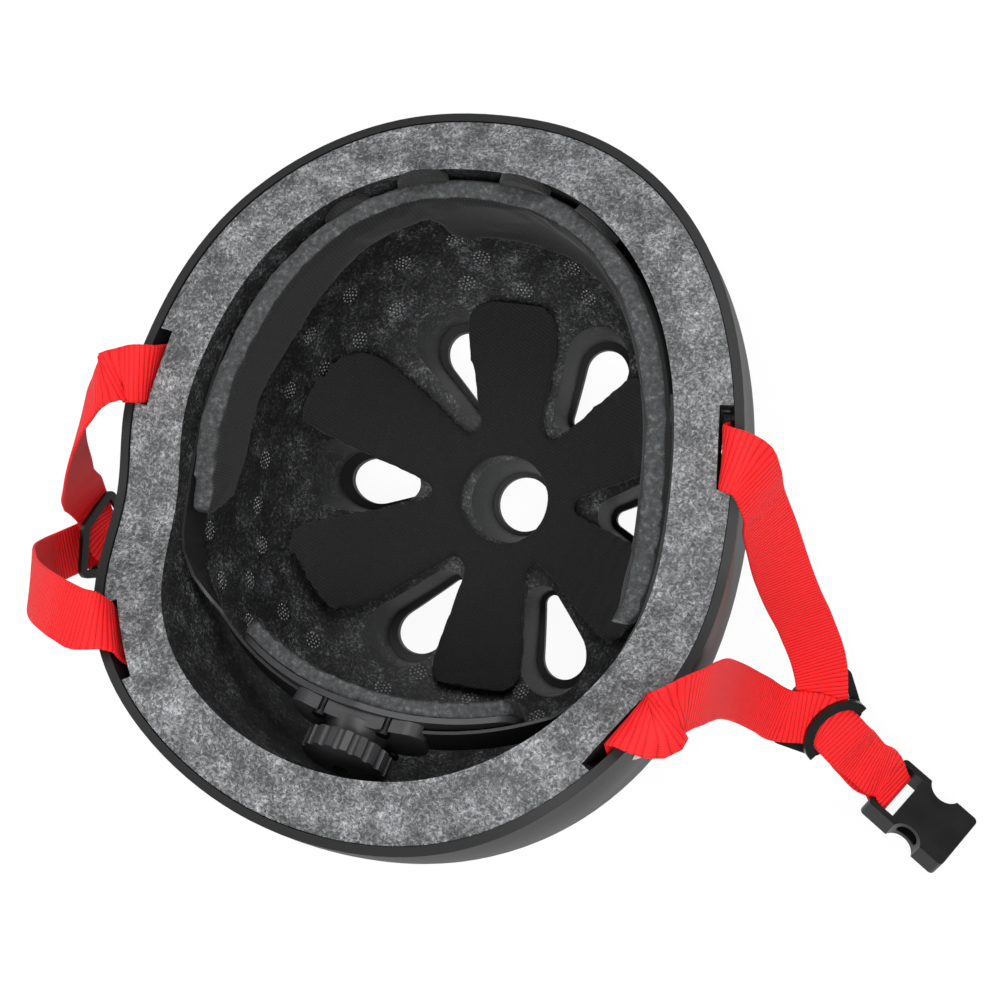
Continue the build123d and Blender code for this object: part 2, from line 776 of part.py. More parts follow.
def dial_knob():
    depth = neck_depth() + dial_gap
    outline = Circle(dial_radius)
    for index in range(knurl_count):
        turn = (index + 0.5) * 360 / knurl_count
        outline = outline - Rot(0, 0, turn) * Pos(dial_radius + 0.45 * knurl_radius, 0) * Circle(knurl_radius)
    knob = extrude(outline, amount=dial_thickness)
    crown = (dial_radius ** 2 + (0.25 * dial_thickness) ** 2) / (0.5 * dial_thickness)
    knob = knob & Pos(0, 0, dial_thickness - crown) * Sphere(crown)
    recess = click_height + 2 * dial_gap
    knob = knob - Pos(0, 0, recess / 2) * Cylinder(click_outer + dial_gap, recess)
    knob = knob - Cylinder(shaft_radius + small_gap / 3, 4 * dial_thickness)
    knob = knob - Pos(0, 0, dial_thickness) * Cylinder(screw_head + 4 * small_gap, 4 * screw_head_height)
    return dial_place(depth) * knob


def dial_pinion():
    pitch = 2 * pi / tooth_count
    half_tooth = pitch / 4 - tooth_backlash / 2 / pitch_radius / 2
    lean = tooth_dedendum * tan(radians(20)) / pitch_radius
    tip = pitch_radius + tooth_addendum
    root = pitch_radius - tooth_dedendum
    points = []
    for index in range(tooth_count):
        turn = index * pitch + pi / 2
        for radius, swing in [(root, -half_tooth - lean), (tip, -half_tooth + lean), (tip, half_tooth - lean),
                              (root, half_tooth + lean)]:
            points.append((radius * cos(turn + swing), radius * sin(turn + swing)))
    gear = make_face(Polyline(*points, points[0]))
    start, middle, end = rack_depths()
    gear = extrude(gear, amount=end - 2 * start)
    body = dial_place(start) * gear
    knob_top = neck_depth() + dial_gap + dial_thickness - 3 * screw_head_height
    shaft = dial_place(end - start) * Pos(0, 0, (knob_top - end + start) / 2) * Cylinder(
        shaft_radius, knob_top - end + start)
    pivot = dial_place(-yoke_thickness / 2) * Pos(0, 0, yoke_thickness / 2) * Cylinder(
        pivot_radius, yoke_thickness + 2 * rack_gap)
    body = body + shaft + pivot
    bore = dial_place(knob_top) * Cylinder(screw_radius, 4 * dial_thickness / 3)
    return body - bore


def dial_screw():
    knob_top = neck_depth() + dial_gap + dial_thickness - 3 * screw_head_height
    head = Pos(0, 0, screw_head_height / 2 + small_gap) * Cylinder(screw_head, screw_head_height)
    shank = Pos(0, 0, -dial_thickness / 4 + small_gap) * Cylinder(screw_radius - small_gap / 3, dial_thickness / 2)
    drive = Pos(0, 0, screw_head_height) * Rectangle(screw_head, screw_head / 4)
    drive = drive + Pos(0, 0, screw_head_height) * Rectangle(screw_head / 4, screw_head)
    cross = extrude(drive, amount=screw_head_height / 2, both=True)
    return dial_place(knob_top) * (head + shank - Pos(0, 0, screw_head_height / 4) * cross)


def dial_relief():
    """Hollow in the liner behind the dial, long enough for the dial to slide back."""
    depth = neck_depth() + dial_gap
    return dial_place(depth - dial_thickness) * Pos(0, 0, dial_thickness * 1.5) * Cylinder(
        dial_radius + 2 * dial_gap + 1.5 * screw_head, 3 * dial_thickness)


cradle_frame = Pos(*cradle_place) * Rot(0, 0, cradle_turn) * Rot(cradle_lean, 0, 0)


def arm_anchor_location(side):
    angle = 17.0 if side > 0 else 163.0
    frame = wall_frame(angle, 1.37 * half_width, liner_side)
    return Location(frame)


def anchor_hole():
    return Pos(0, 0, arm_height / 2) * Cylinder(arm_height / 4 + small_gap, arm_height + overrun)


def headband_anchors():
    anchors = []
    for side in (1, -1):
        flange_top = -(arm_gap + arm_thickness + small_gap)
        flange = Pos(0, 0, flange_top - arm_thickness / 2.4) * Cylinder(arm_height / 2.6, arm_thickness / 1.2)
        shank = Pos(0, 0, arm_height / 2.4 + flange_top / 2) * Cylinder(arm_height / 4, arm_height / 1.2 - flange_top)
        for share in (0.25, 0.5, 0.75):
            shank = shank - Pos(0, 0, share * arm_height / 1.2) * (
                Cylinder(arm_height / 2, arm_thickness / 2) - Cylinder(arm_height / 5, arm_thickness))
        anchors.append((arm_anchor_location(side) * (flange + shank)).solid())
    return Compound(anchors)


def cradle_point(x, y, z):
    place = (cradle_frame * Pos(x, y, z)).position
    return Vector(place.X, place.Y, place.Z)


def headband_arm(side):
    """Band from its liner anchor along the wall to its rack inside the cradle."""
    lay = liner_side + arm_gap + arm_thickness / 2
    stations = []
    wall_rows = [(20.5, 1.37), (17.0, 1.37), (10.0, 1.375), (0.0, 1.385), (-9.0, 1.4), (-17.0, 1.42)]
    for angle, height in wall_rows:
        plan_angle = angle if side > 0 else 180 - angle
        frame = wall_frame(plan_angle, height * half_width, lay)
        stations.append((frame.origin, frame.y_dir))
    near, middle, far = rack_depths()
    depth = near if side < 0 else middle
    band_up = cradle_point(0, 0, 1) - cradle_point(0, 0, 0)
    radius = yoke_radius + depth + rack_thickness / 2
    for x in (1.22 * yoke_half_span, yoke_half_span, 0.8 * yoke_half_span, 0.66 * yoke_half_span):
        y = yoke_radius - sqrt(radius ** 2 - x * x)
        stations.append((cradle_point(side * x, y, 0), band_up))
    arm = ribbon(stations, arm_height, rack_thickness)
    rack_start, rack_end = -rack_reach, 0.66 * yoke_half_span + overrun / 2
    if side < 0:
        rack_start, rack_end = -rack_end, rack_reach
    rack = band(depth, depth + rack_thickness, rack_start, rack_end, rack_height)
    rack = rack - rack_teeth(side > 0)
    arm = arm + cradle_frame * rack
    hole = arm_anchor_location(side) * Cylinder(arm_height / 4 + small_gap, 2 * arm_height)
    return arm - hole


# Divider and buckle planes, in the resting frame

divider_left = Plane(origin=Vector(1.295, -0.444, 0.461) * half_width, x_dir=(0.6, 0.794, 0.029),
                     z_dir=(0.41, -0.342, 0.84))
divider_right = Plane(origin=Vector(-1.540, -0.267, 0.515) * half_width, x_dir=(0.0, -0.98, 0.184),
                      z_dir=(-0.955, -0.053, -0.284))
buckle_left = Plane(origin=Vector(1.579, -0.659, 0.113) * half_width, x_dir=(-0.43, -0.716, 0.547),
                    z_dir=(0.3, 0.455, 0.842))
buckle_right = Plane(origin=Vector(-1.400, -0.357, 0.042) * half_width, x_dir=(0.0, 1.0, 0.0),
                     z_dir=(0.0, 0.0, -1.0))

front_left_rows = [(1.09, 0.148, 1.51, 0.25, 0.88, -0.36), (1.125, 0.068, 1.365, 0.5, 0.84, -0.2),
                   (1.16, -0.03, 1.081, 0.68, 0.71, -0.15), (1.21, -0.14, 0.777, 0.74, 0.65, -0.14)]
rear_left_rows = [(1.015, -0.555, 1.496, 0.3, 0.83, 0.4), (1.03, -0.51, 1.262, -0.13, 0.99, 0.09),
                  (1.045, -0.478, 1.05, -0.16, 0.98, 0.04), (1.06, -0.465, 0.869, -0.16, 0.98, 0.04),
                  (1.085, -0.466, 0.698, -0.1, 0.97, 0.14)]
front_right_rows = [(-1.15, 0.174, 1.449, -0.67, 0.69, 0.3), (-1.33, 0.079, 1.224, -0.7, 0.66, 0.16),
                    (-1.46, -0.025, 1.01, -0.6, 0.75, 0.05)]
rear_right_rows = [(-1.07, -0.571, 1.557, -0.3, 0.87, 0.34), (-1.34, -0.505, 1.182, 0.09, 0.99, 0.1),
                   (-1.59, -0.451, 0.928, 0.01, 0.99, 0.14)]

leg_rows = [(0.5, 2.5), (0.68, 2.9)]


if __name__ == "__main__":
    place = rest_location()
    rivets, washers = rivets_and_washers()
    nodes = {
        "outer_shell": place * outer_shell(),
        "eps_liner": place * eps_liner(),
        "crown_pad": place * crown_pad(),
        "crown_hook_patches": place * crown_hook_patches(),
        "forehead_pad": place * forehead_pad(),
        "forehead_hook_patches": place * forehead_hook_patches(),
        "strap_rivets": place * rivets,
        "rivet_washers": place * washers,
        "headband_arm_left": place * headband_arm(1),
        "headband_arm_right": place * headband_arm(-1),
        "headband_anchors": place * headband_anchors(),
        "cradle_yoke": place * cradle_frame * cradle_yoke(),
        "cradle_pad": place * cradle_frame * cradle_pad(),
        "cradle_cover": place * cradle_frame * cradle_cover(),
        "cradle_screws": place * cradle_frame * cradle_screws(),
        "click_ring": place * cradle_frame * click_ring(),
        "dial_knob": place * cradle_frame * dial_knob(),
        "dial_pinion": place * cradle_frame * dial_pinion(),
        "dial_screw": place * cradle_frame * dial_screw(),
        "strap_divider_left": Location(divider_left) * strap_divider(),
        "strap_divider_right": Location(divider_right) * strap_divider(),
        "webbing_left": webbing(1, front_left_rows, rear_left_rows, divider_left, buckle_left),
        "webbing_right": webbing(-1, front_right_rows, rear_right_rows, divider_right, buckle_right),
        "buckle_socket": Location(buckle_left) * buckle_socket(),
        "buckle_plug": Location(buckle_right) * buckle_plug(),
    }
    for name, shape in nodes.items():
        export_step(shape, f"parts/{name}.step")
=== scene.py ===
import bpy
import bmesh
from math import radians, degrees, sin, cos, atan2, pi, sqrt, copysign
from mathutils import Matrix, Vector


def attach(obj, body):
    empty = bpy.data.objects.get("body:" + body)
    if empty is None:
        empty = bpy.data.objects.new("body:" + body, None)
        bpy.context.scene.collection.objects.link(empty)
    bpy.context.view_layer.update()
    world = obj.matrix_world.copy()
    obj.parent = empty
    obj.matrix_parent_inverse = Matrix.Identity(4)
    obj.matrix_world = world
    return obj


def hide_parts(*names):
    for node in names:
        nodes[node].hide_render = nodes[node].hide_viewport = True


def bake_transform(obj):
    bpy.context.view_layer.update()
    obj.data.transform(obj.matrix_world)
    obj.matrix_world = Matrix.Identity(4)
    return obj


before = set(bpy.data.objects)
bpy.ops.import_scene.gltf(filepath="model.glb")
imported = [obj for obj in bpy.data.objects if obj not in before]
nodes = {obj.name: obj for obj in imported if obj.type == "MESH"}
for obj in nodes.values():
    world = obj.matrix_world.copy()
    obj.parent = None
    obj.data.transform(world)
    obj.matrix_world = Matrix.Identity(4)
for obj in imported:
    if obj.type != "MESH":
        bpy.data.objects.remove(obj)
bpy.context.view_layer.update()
MM = 0.001


def new_object(name, data):
    made = bpy.data.objects.new(name, data)
    bpy.context.scene.collection.objects.link(made)
    return made


# Camera and lights: the camera's place in millimetres, the lamps' places and sizes in metres, power in watts

CAMERA_PLACE = (166.2, -83.48, 675.56)
CAMERA_BACK = (0.2526, -0.14838, 0.95609)
CAMERA_UP = (-0.14808, 0.97057, 0.18975)
CAMERA_LENS = 60.03
SENSOR_WIDTH = 36.0
NEAREST, FARTHEST = 0.02, 20.0
FOCAL_PIXELS = 1667.63
PICTURE_MIDDLE = 500

SOFTBOXES = [("front_softbox", (0.15, 0.75, 1.25), (0, 0, 0.12), 0.9, 12),
             ("rear_softbox", (0.1, -0.6, 1.2), (0, 0, 0.12), 0.8, 10),
             ("left_softbox", (1.1, 0.3, 0.9), (0, 0, 0.1), 0.6, 4),
             ("right_softbox", (-1.0, 0.0, 0.9), (0, 0, 0.1), 0.7, 5),
             ("camera_softbox", (0.25, -0.3, 1.0), (0, -0.03, 0.12), 0.4, 3.5)]


def photo_camera():
    """The camera as it stood for the photograph, fitted to the rim, the vents and the straps."""
    data = bpy.data.cameras.new("photo_camera")
    data.sensor_width = SENSOR_WIDTH
    data.lens = CAMERA_LENS
    data.clip_start, data.clip_end = NEAREST, FARTHEST
    camera = new_object("photo_camera", data)
    back = Vector(CAMERA_BACK).normalized()
    right = Vector(CAMERA_UP).cross(back).normalized()
    turn = Matrix((right, back.cross(right), back)).transposed().to_4x4()
    camera.matrix_world = Matrix.Translation(Vector(CAMERA_PLACE) * MM) @ turn
    bpy.context.scene.camera = camera
    return camera


def soft_lamp(name, place, aim, size, power):
    data = bpy.data.lights.new(name, "AREA")
    data.shape = "DISK"
    data.size = size
    data.energy = power
    lamp = new_object(name, data)
    lamp.location = place
    lamp.rotation_euler = (Vector(aim) - Vector(place)).to_track_quat("-Z", "Y").to_euler()


# Materials: pattern sizes are in millimetres

def linear(hex_code):
    """Linear colour of an sRGB hex value."""
    parts = [int(hex_code[i:i + 2], 16) / 255 for i in (1, 3, 5)]
    return [c / 12.92 if c <= 0.04045 else ((c + 0.055) / 1.055) ** 2.4 for c in parts] + [1.0]


def fill(tree, node, sockets):
    """Sets a node's sockets: another node's output is linked, a hex value is turned to linear."""
    for socket, value in sockets.items():
        if isinstance(value, bpy.types.NodeSocket):
            tree.links.new(value, node.inputs[socket])
        else:
            node.inputs[socket].default_value = linear(value) if isinstance(value, str) else value


def add_node(tree, kind, out=None, sockets=None, stops=(), **settings):
    """Adds a node with its settings, sockets and ramp stops. It returns the named output, or all of them."""
    made = tree.nodes.new("ShaderNode" + kind)
    for name, value in settings.items():
        setattr(made, name, value)
    fill(tree, made, sockets or {})
    if stops:
        elements = made.color_ramp.elements
        elements.remove(elements[-1])
        elements[0].position = stops[0][0]
        elements[0].color = linear(stops[0][1])
        for place, hex_code in stops[1:]:
            elements.new(place).color = linear(hex_code)
    return made.outputs if out is None else made.outputs[out]


def scale_of(size):
    """Scale that gives a pattern on metres the given size in millimetres."""
    return 1 / (size * MM)


def start_material(name):
    material = bpy.data.materials.new(name)
    material.use_nodes = True
    tree = material.node_tree
    return material, tree, tree.nodes["Principled BSDF"]


def shell_abs():
    """Matt black ABS, injection moulded with a fine spark-eroded grain that breaks the highlight up."""
    material, tree, shader = start_material("matt_black_abs_moulded")
    place = add_node(tree, "TexCoord", "Object")
    grain = add_node(tree, "TexNoise", "Fac", {"Vector": place, "Scale": scale_of(0.4545), "Detail": 2.0})
    patches = add_node(tree, "TexNoise", "Fac", {"Vector": place, "Scale": scale_of(71.43), "Detail": 3.0})
    fill(tree, shader, {
        "Base Color": add_node(tree, "ValToRGB", "Color", {"Fac": patches},
                               [(0.3, "#111112"), (0.7, "#161617")]),
        "Roughness": add_node(tree, "MapRange", "Result", {"Value": patches, "To Min": 0.5, "To Max": 0.6}),
        "IOR": 1.36,
        "Normal": add_node(tree, "Bump", "Normal",
                           {"Height": grain, "Distance": 0.05 * MM, "Strength": 0.35})})
    return material


def bead_foam():
    """Moulded black bead foam: crushed beads, whose skins catch the light as a fine pale felt of streaks.

    The rim's upward face is painted paler, as painted light from above, and the cavity darker, as painted
    shade over the foam's own black. The vent wells were cored by polished pins, so their walls are smooth;
    their lighter grey is painted sheen.
    """
    head_centre = (0.0, 0.0075, 0.105)
    well_low, well_high = 0.085, 0.1
    rim_low, rim_high = 0.125, 0.14
    material, tree, shader = start_material("black_bead_foam_moulded")
    coords = add_node(tree, "TexCoord")
    place, normal = coords["Object"], coords["Normal"]
    warp = add_node(tree, "TexNoise", "Color", {"Vector": place, "Scale": scale_of(2.083), "Detail": 3.0})
    shift = add_node(tree, "VectorMath", 0, {0: warp, "Scale": 3.4 * MM}, operation="SCALE")
    bent = add_node(tree, "VectorMath", 0, {0: place, 1: shift}, operation="ADD")
    streaks = add_node(tree, "TexNoise", "Fac",
                       {"Vector": bent, "Scale": scale_of(1.1364), "Detail": 3.0, "Roughness": 0.62})
    beads = add_node(tree, "TexVoronoi", "Distance", {"Vector": bent, "Scale": scale_of(1.1765)},
                     feature="DISTANCE_TO_EDGE")
    blotch = add_node(tree, "TexNoise", "Fac",
                      {"Vector": place, "Scale": scale_of(10.526), "Detail": 3.0, "Roughness": 0.6})
    web = add_node(tree, "MapRange", "Result",
                   {"Value": beads, "From Max": 0.35, "To Min": 1.0, "To Max": 0.0})
    level = add_node(tree, "Math", 0, {0: web, 1: 0.16, 2: -0.6}, operation="MULTIPLY_ADD")
    level = add_node(tree, "Math", 0, {0: streaks, 1: 1.25, 2: level}, operation="MULTIPLY_ADD")
    level = add_node(tree, "Math", 0, {0: blotch, 1: 0.75, 2: level}, operation="MULTIPLY_ADD")
    # painted shade: the cavity takes these darker colours, the foam's black darkened further as painted shade
    inside = add_node(tree, "ValToRGB", "Color", {"Fac": level},
                      [(0.2, "#050506"), (0.42, "#0f0f10"), (0.6, "#2c2d2e"), (0.85, "#6c6d6f")])
    # painted light: the rim takes these paler colours, the foam as lit from above painted into its colour
    rim = add_node(tree, "ValToRGB", "Color", {"Fac": level},
                   [(0.15, "#1a1b1c"), (0.42, "#3d3e3f"), (0.62, "#68696b"), (0.9, "#a2a3a5")])
    # the wells' smooth skin without streaks; its lighter grey is painted sheen
    smooth = add_node(tree, "ValToRGB", "Color", {"Fac": streaks}, [(0.3, "#2b2c2d"), (0.7, "#434446")])
    upward = add_node(tree, "MapRange", "Result", {"Value": add_node(tree, "SeparateXYZ", "Z", {0: normal}),
                                                   "From Min": 0.3, "From Max": 0.85})
    height = add_node(tree, "SeparateXYZ", "Z", {0: place})
    high = add_node(tree, "MapRange", "Result", {"Value": height, "From Min": rim_low, "From Max": rim_high})
    low = add_node(tree, "MapRange", "Result",
                   {"Value": height, "From Min": well_low, "From Max": well_high, "To Min": 1.0, "To Max": 0.0})
    # a well's wall runs along the line from the middle of the head, and the cavity's wall faces that line
    outward = add_node(tree, "VectorMath", 0, {0: place, 1: head_centre}, operation="SUBTRACT")
    outward = add_node(tree, "VectorMath", 0, {0: outward}, operation="NORMALIZE")
    facing = add_node(tree, "VectorMath", "Value", {0: outward, 1: normal}, operation="DOT_PRODUCT")
    facing = add_node(tree, "Math", 0, {0: facing}, operation="ABSOLUTE")
    well = add_node(tree, "MapRange", "Result",
                    {"Value": facing, "From Min": 0.5, "From Max": 0.8, "To Min": 1.0, "To Max": 0.0})
    well = add_node(tree, "Math", 0, {0: well, 1: low}, operation="MULTIPLY")
    inside = add_node(tree, "Mix", 2, {0: well, 6: inside, 7: smooth}, data_type="RGBA")
    # painted light: faces that look up, high on the rim, take the paler lit colours
    painted_light_on_rim = add_node(tree, "Math", 0, {0: upward, 1: high}, operation="MULTIPLY")
    fill(tree, shader, {
        "Base Color": add_node(tree, "Mix", 2, {0: painted_light_on_rim, 6: inside, 7: rim}, data_type="RGBA"),
        "Roughness": 0.62,
        "Normal": add_node(tree, "Bump", "Normal", {"Height": level, "Distance": 0.5 * MM, "Strength": 0.5})})
    return material


def knit(name, ring, felt):
    """Warp-knit cover over foam. Where the pad was cut, the felted foam edge shows grey.

    Real wales stand about 0.6 mm apart, too fine to show, so they are drawn 1.15 mm apart. On a ring they run
    up the head's side.
    """
    material, tree, shader = start_material(name)
    coords = add_node(tree, "TexCoord")
    place = coords["Object"]
    split = add_node(tree, "SeparateXYZ", None, {0: place})
    if ring:
        head_radius = 88 * MM
        angle = add_node(tree, "Math", 0, {0: split["Y"], 1: split["X"]}, operation="ARCTAN2")
        along = add_node(tree, "Math", 0, {0: angle, 1: head_radius}, operation="MULTIPLY")
    else:
        along = add_node(tree, "Math", 0, {0: split["Y"], 1: 0.9}, operation="MULTIPLY")
        along = add_node(tree, "Math", 0, {0: split["X"], 1: 0.42, 2: along}, operation="MULTIPLY_ADD")
    wale = add_node(tree, "Math", 0, {0: along, 1: 2 * pi * scale_of(1.15)}, operation="MULTIPLY")
    wale = add_node(tree, "Math", 0, {0: wale}, operation="SINE")
    fuzz = add_node(tree, "TexNoise", "Fac", {"Vector": place, "Scale": scale_of(0.7692), "Detail": 3.0})
    level = add_node(tree, "Math", 0, {0: wale, 1: 0.22, 2: fuzz}, operation="MULTIPLY_ADD")
    colour = add_node(tree, "ValToRGB", "Color", {"Fac": level},
                      [(0.2, "#040405"), (0.55, "#0c0c0d"), (0.85, "#1d1d1e")])
    if felt:
        fleck = add_node(tree, "TexNoise", "Fac",
                         {"Vector": place, "Scale": scale_of(1.9231), "Detail": 4.0, "Roughness": 0.7})
        cut = add_node(tree, "ValToRGB", "Color", {"Fac": fleck},
                       [(0.3, "#1d1e1f"), (0.55, "#38393a"), (0.75, "#5d5e60")])
        upward = add_node(tree, "SeparateXYZ", "Z", {0: coords["Normal"]})
        edge = add_node(tree, "MapRange", "Result", {"Value": upward, "From Min": 0.62, "From Max": 0.8})
        colour = add_node(tree, "Mix", 2, {0: edge, 6: colour, 7: cut}, data_type="RGBA")
    fill(tree, shader, {
        "Base Color": colour, "Roughness": 0.92, "Sheen Weight": 0.06, "Sheen Roughness": 0.5,
        "Normal": add_node(tree, "Bump", "Normal", {"Height": level, "Distance": 0.3 * MM, "Strength": 0.5})})
    return material


def grosgrain():
    """Woven polyester strap: cross ribs 1.6 mm apart, and lengthwise threads drawn 0.7 mm apart to show."""
    material, tree, shader = start_material("red_polyester_webbing_woven")
    uv = add_node(tree, "UVMap", "UV")
    split = add_node(tree, "SeparateXYZ", None, {0: uv})
    rib = add_node(tree, "Math", 0, {0: split["Y"], 1: pi / 1.6}, operation="MULTIPLY")
    rib = add_node(tree, "Math", 0, {0: rib}, operation="SINE")
    rib = add_node(tree, "Math", 0, {0: rib}, operation="ABSOLUTE")
    thread = add_node(tree, "Math", 0, {0: split["X"], 1: 2 * pi / 0.7}, operation="MULTIPLY")
    thread = add_node(tree, "Math", 0, {0: thread}, operation="SINE")
    fuzz = add_node(tree, "TexNoise", "Fac", {"Vector": uv, "Scale": 2.2, "Detail": 4.0})
    level = add_node(tree, "Math", 0, {0: rib, 1: 0.62}, operation="MULTIPLY")
    level = add_node(tree, "Math", 0, {0: thread, 1: 0.05, 2: level}, operation="MULTIPLY_ADD")
    level = add_node(tree, "Math", 0, {0: fuzz, 1: 0.32, 2: level}, operation="MULTIPLY_ADD")
    # painted light: the red is darker in the troughs between the ribs, as painted shade, and brighter on their
    # crests, as painted highlight
    fill(tree, shader, {
        "Base Color": add_node(tree, "ValToRGB", "Color", {"Fac": level},
                               [(0.12, "#7c0609"), (0.42, "#d50d12"), (0.85, "#ee1a1e")]),
        "Roughness": 0.75,
        "IOR": 1.35,
        "Normal": add_node(tree, "Bump", "Normal", {"Height": level, "Distance": 0.4 * MM, "Strength": 0.6})})
    return material


def moulded_black(name, dark, light, rough):
    """Black acetal or nylon, injection moulded: even, slightly waxy, with faint flow lines in its gloss."""
    material, tree, shader = start_material(name)
    place = add_node(tree, "TexCoord", "Object")
    flow = add_node(tree, "TexNoise", "Fac", {"Vector": place, "Scale": scale_of(11.111), "Detail": 3.0})
    grain = add_node(tree, "TexNoise", "Fac", {"Vector": place, "Scale": scale_of(0.3333), "Detail": 1.0})
    fill(tree, shader, {
        "Base Color": add_node(tree, "ValToRGB", "Color", {"Fac": flow}, [(0.35, dark), (0.65, light)]),
        "Roughness": add_node(tree, "MapRange", "Result",
                              {"Value": flow, "To Min": rough - 0.04, "To Max": rough + 0.05}),
        "IOR": 1.38,
        "Normal": add_node(tree, "Bump", "Normal",
                           {"Height": grain, "Distance": 0.03 * MM, "Strength": 0.2})})
    return material


def steel(name, dark, light, rough):
    """Plated or blackened steel, pressed and tumbled: faint wear marks show in its gloss."""
    material, tree, shader = start_material(name)
    place = add_node(tree, "TexCoord", "Object")
    wear = add_node(tree, "TexNoise", "Fac", {"Vector": place, "Scale": scale_of(1.4286), "Detail": 4.0})
    fill(tree, shader, {
        "Metallic": 1.0,
        "Base Color": add_node(tree, "ValToRGB", "Color", {"Fac": wear}, [(0.3, dark), (0.7, light)]),
        "Roughness": add_node(tree, "MapRange", "Result",
                              {"Value": wear, "To Min": rough - 0.06, "To Max": rough + 0.1})})
    return material


def steam_mark_foam():
    """The foam's skin where the mould's steam nozzles stood: tiny glossy pips."""
    material, tree, shader = start_material("bead_foam_steam_pips")
    place = add_node(tree, "TexCoord", "Object")
    spots = add_node(tree, "TexNoise", "Fac", {"Vector": place, "Scale": scale_of(1.25), "Detail": 2.0})
    fill(tree, shader, {
        "Base Color": add_node(tree, "ValToRGB", "Color", {"Fac": spots},
                               [(0.35, "#4a4a4c"), (0.7, "#9c9c9e")]),
        "Roughness": 0.35})
    return material


def studio_world():
    """Even studio light of strength 0.25, which the camera sees as plain white behind the floor."""
    world = bpy.data.worlds.new("studio")
    bpy.context.scene.world = world
    world.use_nodes = True
    tree = world.node_tree
    rays = add_node(tree, "LightPath")
    seen = add_node(tree, "Math", 0, {0: rays["Is Camera Ray"], 1: rays["Is Transmission Ray"]},
                    operation="ADD")
    seen = add_node(tree, "Math", 0, {0: seen, 1: 1.0}, operation="MINIMUM")
    strength = add_node(tree, "Math", 0, {0: seen, 1: 0.75, 2: 0.25}, operation="MULTIPLY_ADD")
    fill(tree, tree.nodes["Background"], {"Color": "#ffffff", "Strength": strength})


def floor_white():
    """Pale floor that the camera sees as white, a little darker where the helmet shades it."""
    material, tree, shader = start_material("floor_matt_white")
    fill(tree, shader, {"Base Color": "#f2f2f2", "Roughness": 0.9})
    rays = add_node(tree, "LightPath")
    seen = add_node(tree, "Math", 0, {0: rays["Is Camera Ray"], 1: rays["Is Glossy Ray"]}, operation="ADD")
    seen = add_node(tree, "Math", 0, {0: seen, 1: rays["Is Transmission Ray"]}, operation="ADD")
    seen = add_node(tree, "Math", 0, {0: seen, 1: 1.0}, operation="MINIMUM")
    glow_share = add_node(tree, "Math", 0, {0: seen, 1: 0.93}, operation="MULTIPLY")
    glow = add_node(tree, "Emission", 0, {"Color": "#ffffff", "Strength": 1.0})
    mixed = add_node(tree, "MixShader", 0, {0: glow_share, 1: shader.outputs[0], 2: glow})
    fill(tree, tree.nodes["Material Output"], {"Surface": mixed})
    return material


def finish(piece, material):
    """Gives a piece its one material."""
    piece.data.materials.clear()
    piece.data.materials.append(material)


def dress(names, material):
    """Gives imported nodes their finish."""
    for name in names:
        finish(nodes[name], material)


# The helmet's wall, as the part's source draws it, in millimetres

HALF_WIDTH = 104.0
FRONT_LENGTH = 135.5
REAR_LENGTH = 126.0
WIDEST_OFFSET = 5.5
CROWN_DEPTH = 105.0
FRONT_POWER = 2.25
REAR_POWER = 2.1
FLARE_HEIGHT = 70.0
SIDE_FLARE_SHARE = 0.045
MOST_SIDE_FLARE = 0.6
FRONT_FLARE_SHARE = 0.013
REAR_FLARE_SHARE = 0.068
SHELL_WALL = 3.0
REST_TILT = 7.3
# rim heights along the helmet, as shares of the half width: from the nape to the brow
RIM_SHARES = [(-1.41, 1.70), (-1.26, 1.724), (-1.058, 1.78), (-0.84, 1.82), (-0.64, 1.775), (-0.42, 1.63),
              (-0.192, 1.522), (0.048, 1.554), (0.337, 1.532), (0.769, 1.44), (1.24, 1.231), (1.43, 1.15)]


def blend(low, high, share):
    return low + (high - low) * share


def wall(angle, z, inset):
    """Place on the wall at a plan angle and a height above the crown, set in from the outside."""
    rise = max(z - CROWN_DEPTH, 0.0) / FLARE_HEIGHT
    flare = rise * rise
    side = HALF_WIDTH * (1 + SIDE_FLARE_SHARE * min(flare, MOST_SIDE_FLARE)) - inset
    front = FRONT_LENGTH * (1 - FRONT_FLARE_SHARE * flare) - inset
    rear = REAR_LENGTH * (1 - REAR_FLARE_SHARE * flare) - inset
    share = 1.0
    if z < CROWN_DEPTH:
        fall = min((CROWN_DEPTH - z) / (CROWN_DEPTH - inset), 1.0)
        share = sqrt(1 - fall * fall)
    along, across = cos(radians(angle)), sin(radians(angle))
    reach, power = (front, FRONT_POWER) if across > 0 else (rear, REAR_POWER)
    x = side * copysign(abs(along) ** (2 / power), along)
    y = reach * copysign(abs(across) ** (2 / power), across) - WIDEST_OFFSET
    return Vector((x * share, y * share, z))


def wall_along(angle, z, inset):
    """Level direction along the wall, towards the brow."""
    step = wall(angle + 1, z, inset) - wall(angle - 1, z, inset)
    step.normalize()
    return step if step.y > 0 else -step


def rim_height(y):
    for (y0, z0), (y1, z1) in zip(RIM_SHARES, RIM_SHARES[1:]):
        if y <= y1 * HALF_WIDTH:
            return HALF_WIDTH * blend(z0, z1, (y / HALF_WIDTH - y0) / (y1 - y0))
    return HALF_WIDTH * RIM_SHARES[-1][1]


def turned(vector):
    return Matrix.Rotation(radians(REST_TILT), 3, "X") @ vector


def rest_shift():
    """How far the tilted helmet moves so that its crown touches the floor at the origin."""
    lean = radians(REST_TILT)
    crown = REAR_LENGTH + WIDEST_OFFSET
    across = sqrt((CROWN_DEPTH * cos(lean)) ** 2 + (crown * sin(lean)) ** 2)
    y = -crown * crown * sin(lean) / across
    z = CROWN_DEPTH - CROWN_DEPTH * sqrt(1 - (y / crown) ** 2)
    return -turned(Vector((0, y, z)))


REST_SHIFT = rest_shift()


